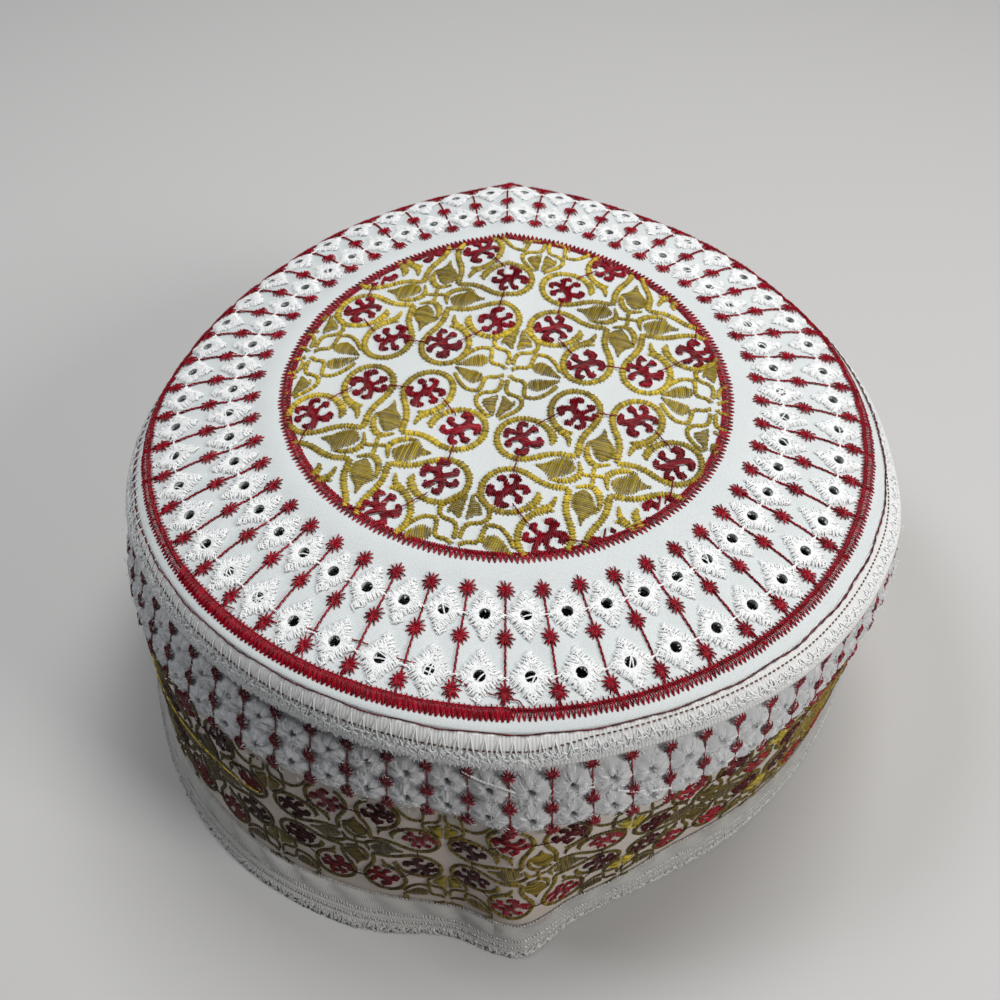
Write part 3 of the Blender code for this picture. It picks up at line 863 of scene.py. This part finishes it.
def seam_way(azimuth):
    """Way out along the cloth to the seam."""
    return by_azimuth(azimuth, AZIMUTHS, seam_at)


LOWEST = 1.3                 # the most that the welt's dashes and strands lie further out


def lower_right(azimuth):
    """How much further out the welt's dashes and strands lie at the right."""
    return by_azimuth(azimuth, (-180, 4, 11, 120, 180), (0, 0, LOWEST, LOWEST, 0))


def grid(x, y):
    """Flat places from a column of ways round and ways down."""
    return np.stack(np.broadcast_arrays(x, y), axis=2)


def ring_loft(name, points, material, flat):
    """A closed ring of cloth. points has one closed profile for each station round the cap."""
    count, size = points.shape[:2]
    number = np.arange(count * size).reshape(count, size)
    faces = strip_faces(number, np.roll(number, -1, axis=0))
    return mesh_piece(name, points.reshape(-1, 3), faces[:, ::-1], material, flat.reshape(-1, 2))


azimuth = turns(WELT_ROUND)[:, None]
parts = np.linspace(0, 1, 15)
way = WELT_START + (seam_way(azimuth) + 0.1 - WELT_START) * parts
rib = 0.012 * np.cos(np.arange(WELT_ROUND) * math.pi)[:, None] * np.sin(parts * math.pi)
ridge = 0.5 * np.sin(np.clip((parts - 0.72) / 0.28, 0, 1) * 0.8 * math.pi)
ridge = ridge * (1 - 0.6 * lower_right(azimuth) / LOWEST)
outer = crown_face.at(around(azimuth, way), 0.1 + rib + ridge)
inner_way = WELT_START + (seam_way(azimuth) - 0.9 - WELT_START) * parts[::-1]
inner = crown_face.at(around(azimuth, inner_way), -WELT_CLOTH)
ribbed_cotton = cotton("ribbed_cotton", (0.84, 0.845, 0.84), (0.70, 0.705, 0.71), weave=0.5,
                       twist=0.0)
welt = ring_loft("welt_strip", np.concatenate([outer, inner], axis=1), ribbed_cotton,
                 grid(azimuth * 1.4, np.concatenate([way, inner_way], axis=1)))
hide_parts("edge_welt")

LOOPS = 215
azimuth = turns(LOOPS) + rng.uniform(-0.12, 0.12, LOOPS)
apex = around(azimuth, seam_way(azimuth) - 4.5 + lower_right(azimuth)
              + rng.uniform(-0.25, 0.25, LOOPS))
foot = 360.0 / LOOPS * 0.27
feet = [around(azimuth + lean + rng.uniform(-0.1, 0.1, LOOPS), seam_way(azimuth + lean) - 1.5)
        for lean in (-foot, foot)]
FLUFF = 6500
fluff_at = rng.uniform(0, 360, FLUFF)
across = rng.uniform(-1, 1, FLUFF)
fluff = fuzz(around(fluff_at, seam_way(fluff_at) - 0.7 - 0.5 * lower_right(fluff_at)
                    + 1.2 * across), 0.6)
fluff_base = 0.25 + 0.35 * (1 - across ** 2) - 0.2 * lower_right(fluff_at)
fluff_silk = silk("fluff_silk", (0.90, 0.92, 0.92), (0.78, 0.80, 0.82), roughness=0.45)
stitch_piece("welt_fluff", crown_face, [([fluff], 0.28, 0.08, fluff_base)], fluff_silk,
             "edge_welt")
stitch_piece("welt_strands", crown_face, [
    ([(apex, feet[0])], 0.28, 0.30, 0.14), ([(apex, feet[1])], 0.28, 0.30, 0.18)], white_silk,
    "edge_welt")
RUNNING_AT = 80.05
azimuth = np.arange(0, 360, 1.9)
wave = 0.18 * np.sin(np.radians(azimuth) * 37) + rng.uniform(-0.08, 0.08, len(azimuth))
running = (around(azimuth, RUNNING_AT + wave),
           around(azimuth + 1.95, RUNNING_AT + np.roll(wave, -1)))
dash = np.arange(0, 360, 0.72)
dash_way = seam_way(dash) - 2.35 - lower_right(dash)
stitch_piece("welt_running_stitch", crown_face, [([running], 0.36, 0.22, 0.12)],
             silk("dark_crimson_silk", (0.13, 0.006, 0.012), (0.03, 0.003, 0.005)), "edge_welt")
stitch_piece("welt_dashes", crown_face, [
    ([(around(dash, dash_way), around(dash + 0.46, dash_way))], 0.34, 0.12, 0.16)],
    silk("brown_silk", (0.14, 0.07, 0.055), (0.05, 0.025, 0.02)), "edge_welt")

# The side band: a strip of stiff cotton, embroidered all over. It flares from the seam to the
# waist and has a sharp fold at the front and at the back.
WALL_R = 86.0
WALL_DOWN = 61.4
WAIST_AT = 0.30
CUFF_AT = 0.885
BAND_CLOTH = 1.6
BAND_INSET = 0.95
BAND_END = 57.9
BAND_ROUND = 480


def wall_to_round(points):
    """Azimuth and way down of flat points on the wall."""
    return np.degrees(points[..., 0] / WALL_R), points[..., 1]


def round_way(azimuth):
    """Way round the wall at an azimuth."""
    return np.radians(azimuth) * WALL_R


wall_radii = np.stack([seam_r, waist_r, cuff_r, hem_r])
stops = np.array((0.0, WAIST_AT, CUFF_AT, 1.0))
wall_rows = []
for down in np.arange(0, WALL_DOWN + 1, WAY_STEP) / WALL_DOWN:
    wall_rows.append((smooth_curve(stops, wall_radii, min(down, 1.0)), seam_z * (1 - down)))
wall_face = Face(WAY_STEP, zip(*wall_rows), wall_to_round)
wall_round = 2 * math.pi * WALL_R
down = np.concatenate([np.linspace(0.6, 54, 24), np.linspace(55, BAND_END, 4)])
lining_down = np.linspace(BAND_END, 0.6, 14)
inset = np.interp(down, (0, 3, 16, 18, 54, 58), (1.0, 1.7, 1.7, BAND_INSET, BAND_INSET, 1.35))
x = round_way(turns(BAND_ROUND))[:, None]
outer = wall_face.at(grid(x, down), -inset)
inner = wall_face.at(grid(x, lining_down), -1.35 - BAND_CLOTH)
band = ring_loft("band_cloth", np.concatenate([outer, inner], axis=1),
                 cotton("band_cotton", (0.67, 0.595, 0.535), (0.44, 0.375, 0.32), twist=0.9),
                 grid(x, np.concatenate([down, lining_down])))
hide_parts("side_band")

# Lace at the top of the band: a soft field of white silk, puffed up round two rows of pin holes,
# between columns of three crimson stars. Its fibres are worn and stand up.
COLUMNS = 72
FIRST_COLUMN = 1.2
COLUMN_SLIP = 1.3
PIN_ROWS = (6.2, 12.9)
LACE_BASE = -0.95            # lift of the lace between the puffs
PUFF = 1.5
PUFF_HIGH = 3.9
PIN_DEEP = 2.0
USUAL_MIDDLE = 9.7           # usual way down of a column's middle star
# Azimuth, and way down of the upper, middle and lower star
STAR_TABLE = np.array((
    (-180, 3.2, 9.8, 15.4), (-55, 4.0, 10.4, 15.9), (-45, 3.7, 10.0, 15.6), (-24, 3.1, 9.5, 15.2),
    (-14, 3.3, 9.7, 15.5), (6, 3.2, 10.8, 16.6), (10, 1.8, 9.8, 16.3), (15, 1.9, 10.2, 16.4),
    (20, 3.0, 10.8, 16.9), (38, 3.4, 11.8, 17.6), (44, 2.6, 11.2, 17.0), (53, 0.9, 9.2, 15.6),
    (60, 0.5, 8.6, 15.0), (120, 1.5, 8.8, 15.0), (180, 3.2, 9.8, 15.4)))


def column_azimuth(k):
    """Azimuth of a column of stars: evenly spaced, but slipped by up to COLUMN_SLIP at the sides."""
    plain = (FIRST_COLUMN + k * 360.0 / COLUMNS + 180) % 360 - 180
    return plain - COLUMN_SLIP * math.sin(math.radians(plain) * 1.3) ** 2 * (abs(plain) < 138)


column_ways = np.sort([round_way(column_azimuth(k) % 360) for k in range(COLUMNS)])
column_ways = np.append(column_ways, column_ways[0] + wall_round)


def star_shift(x):
    """How much lower than usual the lace sits at a way round the wall."""
    middle = by_azimuth(np.degrees(x / WALL_R), STAR_TABLE[:, 0], STAR_TABLE[:, 2])
    return 0.8 * (middle - USUAL_MIDDLE)


def between_columns(x):
    """Way from the middle between two columns of stars, and half their distance."""
    x = (x - column_ways[0]) % wall_round + column_ways[0]
    k = np.clip(np.searchsorted(column_ways, x) - 1, 0, COLUMNS - 1)
    half = (column_ways[k + 1] - column_ways[k]) / 2
    return x - column_ways[k] - half, half


def pin_depth(x, y):
    """How deep in a pin hole a place lies, from 0 to 1."""
    dx, _ = between_columns(x)
    return sum(np.exp(-(dx ** 2 + (y - row - star_shift(x)) ** 2) / 0.34) for row in PIN_ROWS)


def lace_height(x, y):
    """Lift of the lace: puffs round the pin holes, low between them and at the columns."""
    dx, half = between_columns(x)
    height = np.zeros(np.broadcast(x, y).shape)
    for row in PIN_ROWS:
        dy = y - row - star_shift(x)
        reach = np.hypot(dx / (half * 1.4), dy / PUFF_HIGH)
        petals = 1 + 0.15 * np.cos(7 * np.arctan2(dy, dx))
        puff = PUFF * np.clip(1 - reach ** 2, 0, 1) ** 0.7 * petals
        height = np.maximum(height, puff)
    return LACE_BASE + height - PIN_DEEP * pin_depth(x, y)


LACE_STEP = 0.5
x = np.arange(0, wall_round, LACE_STEP)
x = (x * wall_round / (len(x) * LACE_STEP))[:, None]
down = 0.2 + (17.3 + star_shift(x) * 0.5) * np.linspace(0, 1, 35)
under_down = down[:, ::-6]
lift = lace_height(x, down)
lift = lift + 0.12 * np.sin(x * 2.9 + 4 * np.sin(down * 1.7)) * np.sin(down * 2.3)
lift[:, 0] = lift[:, -1] = -1.2
outer = wall_face.at(grid(x, down), lift)
under = wall_face.at(grid(x, under_down), -1.3)
flat = grid(x, np.concatenate([down, under_down], axis=1))
# The pin holes are only dents in the cloth; their near black is a painted shade, given by a point
# value.
lace_cloth = cotton("lace_silk", (0.76, 0.77, 0.79), (0.58, 0.60, 0.63), weave=3.0,
                    hole=(0.02, 0.02, 0.02))
lace_field = ring_loft("lace_field", np.concatenate([outer, under], axis=1), lace_cloth, flat)
point_values(lace_field, "painted_pit_shade", np.clip(1.3 * pin_depth(*np.moveaxis(flat, 2, 0)) - 0.1, 0, 1))
sewn["side_band"].append(lace_field)

stars, lines = [], []
for k in range(COLUMNS):
    here = column_azimuth(k)
    heights = [np.interp(here, STAR_TABLE[:, 0], STAR_TABLE[:, i]) for i in (1, 2, 3)]
    places = [np.array((round_way(here) + rng.uniform(-0.2, 0.2), y)) for y in heights]
    stars += [star(place, np.array((0.0, 0.9)), 1.7, 11) for place in places]
    lines += [plied(*places[:2]), plied(*places[1:], 1.0)]
LACE_FIBRES = 7500
STANDING_FIBRES = 1300
middles = (column_ways[:-1] + column_ways[1:]) / 2
hole = np.stack([rng.choice(middles, LACE_FIBRES), rng.choice(PIN_ROWS, LACE_FIBRES)], axis=1)
hole[:, 1] += star_shift(hole[:, 0])
offset = rng.uniform(-1, 1, (LACE_FIBRES, 2)) * (3.6, 3.7)
offset = offset * np.maximum(1, 1.6 / np.maximum(np.hypot(*offset.T), 0.1))[:, None]
turn = np.arctan2(offset[:, 1], offset[:, 0]) + rng.normal(0, 0.25, LACE_FIBRES)
ray = rays(turn) * rng.uniform(0.5, 1.0, (LACE_FIBRES, 1))
place = hole + offset
place[:, 1] = np.clip(place[:, 1], 0.4, 17.4)


def band_painted_light(places):
    """Painted shade: the band's silk is painted darker round the left and front left, where the band
    lies in shade, and full bright from the front to the right, where the light falls.
    """
    return by_azimuth(wall_to_round(places)[0], (-170, -110, -60, -18, 4, 100, 170),
                      (0.8, 0.5, 0.2, 0.3, 1.0, 1.0, 0.8))


def on_lace(places):
    """Lift of the lace at flat places."""
    return lace_height(places[..., 0], places[..., 1])


def lace_painted_light(places):
    """Painted shade: the lace is painted darker in the dips between the puffs, and darker at the
    front left with the rest of the band.
    """
    return band_painted_light(places) * np.clip(0.95 + 0.75 * on_lace(places), 0.15, 1.0)


lying = [(place - ray, place + ray)]
place = rng.uniform((0, 0.5), (wall_round, 17.5), (STANDING_FIBRES, 2))
stand = on_lace(place)[:, None] + 1.2 * rng.uniform(0, 1, (STANDING_FIBRES, 1)) ** 2
standing = [fuzz(place, 0.7)]
lace_thread = silk("lace_thread", (0.92, 0.93, 0.95), (0.62, 0.64, 0.67), roughness=0.28,
                   specular=0.5)
# Painted shade: the lace fibres are painted darker in the dips and at the front left.
stitch_piece("lace_fibres", wall_face, [(lying, 0.48, 0.03, on_lace)], lace_thread, "side_band",
             lace_painted_light)
stitch_piece("lace_fluff", wall_face, [(standing, 0.13, 0.3, lambda places: stand)], white_silk,
             "side_band")
band_crimson = silk("band_crimson_silk", (0.38, 0.008, 0.024), (0.06, 0.003, 0.006))
# Painted shade: the band's stars are painted darker at the front left.
stitch_piece("band_star_lines", wall_face, [
    (stars, 0.52, 0.4, 0.1, POINTED), (lines, 0.36, 0.25, 0.0)], band_crimson, "side_band",
    band_painted_light)

# The arabesque runs on round the band in finer stitches, between the lace and the hem. Its gold
# cords are painted bright at the front fold and the sides and dark between, as painted light and
# shade, and its palmettes are in turn crimson and a dark red of painted shade.
GROUPS_ROUND = 15
CELL_WIDE = wall_round / GROUPS_ROUND / 2
CELL_HIGH = 18.2
ZONE_TOP = 18.0
ZONE_LOW = 55.0
border = Arabesque(
    origin=(round_way(-7.2), 35.0), across=(CELL_WIDE, 0.0), up=(0.0, -CELL_HIGH), cord=0.88,
    pitch=0.56, inside=lambda p: (p[:, 1] > ZONE_TOP) & (p[:, 1] < ZONE_LOW))
cords, leaves, petals, bright, deep, jumps = border.lay(range(2 * GROUPS_ROUND), (-1, 0, 1))
old_gold = silk("old_gold_silk", (0.56, 0.395, 0.045), (0.030, 0.018, 0.003), roughness=0.35)


def cord_painted_light(places):
    """Painted light and shade: the band's cords are painted bright at the front fold and the sides,
    and dark between.
    """
    return by_azimuth(wall_to_round(places)[0],
                      (-150, -76, -62, -50, -14, -3, 5, 12, 35, 58, 110, 150),
                      (0.6, 0.8, 0.35, 0.15, 0.3, 0.7, 0.7, 0.3, 0.35, 1.0, 1.0, 0.6))


ON_BAND = -0.85              # base of the stitches, which lie on the band's inset cloth
# Painted light and shade: the cords are painted bright at the front fold and the sides, and dark
# between.
stitch_piece("band_gold_cords", wall_face, [
    (cords, 0.34, 0.3, ON_BAND), (leaves, 0.36, 0.3, ON_BAND)], old_gold, "side_band", cord_painted_light)
# Painted shade: the half leaves and palmettes are painted darker at the front left, the half leaves
# most.
stitch_piece("band_half_leaves", wall_face, [(petals, 0.40, 0.4, ON_BAND)],
             silk("bright_gold_silk", (0.80, 0.62, 0.06), (0.15, 0.11, 0.015)), "side_band",
             lambda places: band_painted_light(places) ** 2)
stitch_piece("band_palmettes", wall_face, [(bright, 0.38, 0.4, ON_BAND)],
             silk("red_silk", (0.50, 0.018, 0.034), (0.068, 0.003, 0.005), specular=0.18),
             "side_band", band_painted_light)
# Painted shade: the other palmettes, and the threads between them, are painted a dark red.
stitch_piece("band_dark_palmettes", wall_face, [
    (deep, 0.38, 0.4, ON_BAND), (jumps, 0.22, 0.2, -0.5)],
    silk("shaded_red_silk", (0.12, 0.012, 0.014), (0.022, 0.004, 0.004), specular=0.12), "side_band",
    band_painted_light)

# Loose and pulled threads: white floats across the star columns and at the left, a gold end that
# hangs down the left of the band, and short crimson ends between the eyelets at the front.
WHITE_FLOATS = (
    ((-4.5, 2.75), (-2.5, 4.4), (0.1, 5.5), (1.8, 6.5)), ((9.3, 7.0), (11.2, 7.2)),
    ((14.0, 9.25), (15.8, 10.5), (17.5, 11.4)), ((18.3, 12.0), (21.0, 13.4)),
    ((-71.0, 20.5), (-66.0, 18.7), (-60.0, 12.8)), ((-62.0, 22.0), (-60.0, 16.0), (-59.5, 11.2)))
GOLD_END = ((-55.5, 15.8), (-54.6, 22.0), (-53.2, 26.8), (-49.5, 29.0), (-45.0, 29.9),
            (-40.5, 29.6), (-36.0, 29.9), (-32.5, 29.2))
RED_ENDS = (((-8.0, -70.5), (-6.4, -71.2), (-5.5, -72.0)), ((-2.0, -73.0), (-0.6, -73.4)),
            ((1.5, -74.0), (3.2, -74.2), (4.0, -75.4)), ((8.0, -70.2), (9.2, -71.2)),
            ((-50.5, -55.5), (-48.0, -56.5)), ((-43.5, -58.0), (-39.5, -60.0)),
            ((-34.5, -61.0), (-32.0, -62.0)), ((-26.0, -63.5), (-23.0, -64.5)),
            ((-18.0, -67.0), (-14.5, -68.0)))


def strand(points, scale=(1, 1)):
    """Short stitches end to end along a smooth line."""
    line = curve(points, 6) * scale
    return line[:-1], line[1:]


WAY_A_DEGREE = math.radians(WALL_R)
floats = [strand(line, (WAY_A_DEGREE, 1)) for line in WHITE_FLOATS]
stitch_piece("white_floats", wall_face, [(floats, 0.5, 0.1, 0.5)], white_silk, "side_band")
stitch_piece("gold_thread_end", wall_face, [
    ([strand(GOLD_END, (WAY_A_DEGREE, 1))], 0.42, 0.1, 0.1)], gold_silk, "side_band")
ends = [strand(line) for line in RED_ENDS]
stitch_piece("crimson_ends", crown_face, [(ends, 0.3, 0.1, 0.5)], crimson, "crown_top")

# The hem: a white binding folded over the band's edge and quilted through with rows of stitches,
# with slanting pulls in the cloth and frayed fibres along its foot.
HEM_ROUND = 600
x = round_way(turns(HEM_ROUND))[:, None]
# Way down and lift off the wall's face, round the binding
profile = np.array(((54.8, -0.75), (55.0, -0.2), (55.6, 0.0), (56.8, 0.0), (57.6, -0.1),
                    (58.0, -0.35), (58.4, -0.05), (58.9, 0.0), (59.3, -0.35), (59.7, 0.0),
                    (60.2, 0.05), (60.7, -0.2), (61.1, -0.9), (61.1, -2.4), (58.3, -3.6),
                    (58.3, -1.0), (54.8, -1.0)))
down, lift = profile.T
pull = np.abs(np.sin(math.pi * (x - down * 1.6) / 8.5)) * 1.1 - 0.6
pull = pull * np.interp(down, (54, 55.5, 57, 58), (0, 1, 1, 0)) * (lift > -0.3)
points = wall_face.at(grid(x, down), lift + pull)
points[..., 2] = np.maximum(points[..., 2], 0.0)
hem = ring_loft("hem_binding", points,
                cotton("hem_cotton", (0.60, 0.595, 0.58), (0.37, 0.365, 0.35)), grid(x, down + lift))
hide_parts("hem_band")
HEM_PITCH = 0.62
x = np.arange(0, wall_round, HEM_PITCH)
jitter = 0.15 * rng.uniform(-1, 1, (6, len(x)))


def across_hem(low, high, lean):
    """A row of slanting stitches from one way down to another."""
    return [(np.stack([x + jitter[0], low + jitter[1]], axis=1),
             np.stack([x + lean + jitter[2], high + jitter[3]], axis=1))]


FOOT_FIBRES = 3000
foot = rng.uniform((0, 60.0), (wall_round, 60.8), (FOOT_FIBRES, 2))
# Painted shade: the hem's stitches and frayed fibres are painted darker at the front left.
stitch_piece("hem_stitches", wall_face, [
    ([fuzz(foot, 0.6)], 0.34, 0.25, 0.08), (across_hem(57.6, 58.3, 0.5), 0.42, 0.22, -0.2),
    (across_hem(58.8, 59.4, 0.5), 0.42, 0.22, -0.15),
    (across_hem(54.4, 55.3, 0.3), 0.28, 0.06, -0.55)],
    silk("hem_thread", (0.90, 0.90, 0.89), (0.52, 0.52, 0.51), roughness=0.45), "hem_band",
    band_painted_light)

# The stage: a plain pale floor and soft studio light, from above and behind, from the left and
# from the front right.
FLOOR_SIZE = 3.0
floor_finish = Finish("pale_floor", (0.62, 0.62, 0.62), Roughness=0.9)
corners = np.array(((-1, -1), (1, -1), (1, 1), (-1, 1)), float) * FLOOR_SIZE / 2
floor_mesh = bpy.data.meshes.new("floor")
floor_mesh.from_pydata([(x, y, 0.0) for x, y in corners], [], [(0, 1, 2, 3)])
floor_mesh.materials.append(floor_finish.material)
floor = bpy.data.objects.new("floor", floor_mesh)
bpy.context.scene.collection.objects.link(floor)
floor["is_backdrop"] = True
world = bpy.data.worlds.new("studio")
world.use_nodes = True
background = world.node_tree.nodes["Background"]
plug((0.92, 0.94, 1.0, 1.0), background.inputs["Color"])
plug(0.04, background.inputs["Strength"])
bpy.context.scene.world = world
# Name, place in metres, size, power in watts and colour
LIGHTS = (("overhead", (0.15, 0.25, 0.80), 0.35, 3.5, (1.0, 0.99, 0.97)),
          ("left_above", (-0.40, 0.12, 0.80), 0.25, 2.1, (0.97, 0.98, 1.0)),
          ("right_front", (0.60, -0.32, 0.48), 0.25, 2.9, (1.0, 0.97, 0.93)))
AIM = Vector((0.0, 0.0, 0.05))
for name, place, size, power, color in LIGHTS:
    lamp = bpy.data.lights.new(name, "AREA")
    lamp.size, lamp.energy, lamp.color = size, power, color
    light = bpy.data.objects.new(name, lamp)
    light.location = place
    light.rotation_mode = "QUATERNION"
    light.rotation_quaternion = (Vector(place) - AIM).to_track_quat("Z", "Y")
    bpy.context.scene.collection.objects.link(light)

# The camera, close above the front of the cap and looking down at it.
bpy.context.scene.view_settings.view_transform = "Standard"
CAMERA_AT = (3.01, -164.55, 150.06)          # from the crown's middle
CROWN_MIDDLE = Vector((-MIDDLE_X, -MIDDLE_Y, CAP_HEIGHT))
CAMERA_RIGHT = Vector((0.9998, 0.0191, -0.0082))
CAMERA_UP = Vector((-0.0091, 0.7555, 0.6551))
FOCAL = 1050.0 / 1000.0
SENSOR = 36.0
lens = bpy.data.cameras.new("camera")
lens.sensor_width = SENSOR
lens.lens = SENSOR * FOCAL
lens.clip_start = 0.01
camera = bpy.data.objects.new("camera", lens)
right = CAMERA_RIGHT.normalized()
back = right.cross(CAMERA_UP).normalized()
up = back.cross(right)
place = (Vector(CAMERA_AT) + CROWN_MIDDLE) * MM
camera.matrix_world = Matrix.Translation(place) @ Matrix((right, up, back)).transposed().to_4x4()
bpy.context.scene.collection.objects.link(camera)
bpy.context.scene.camera = camera

low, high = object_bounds()
{"cad": [list(corner) for corner in CAD_BOX], "visual": [list(low), list(high)]}
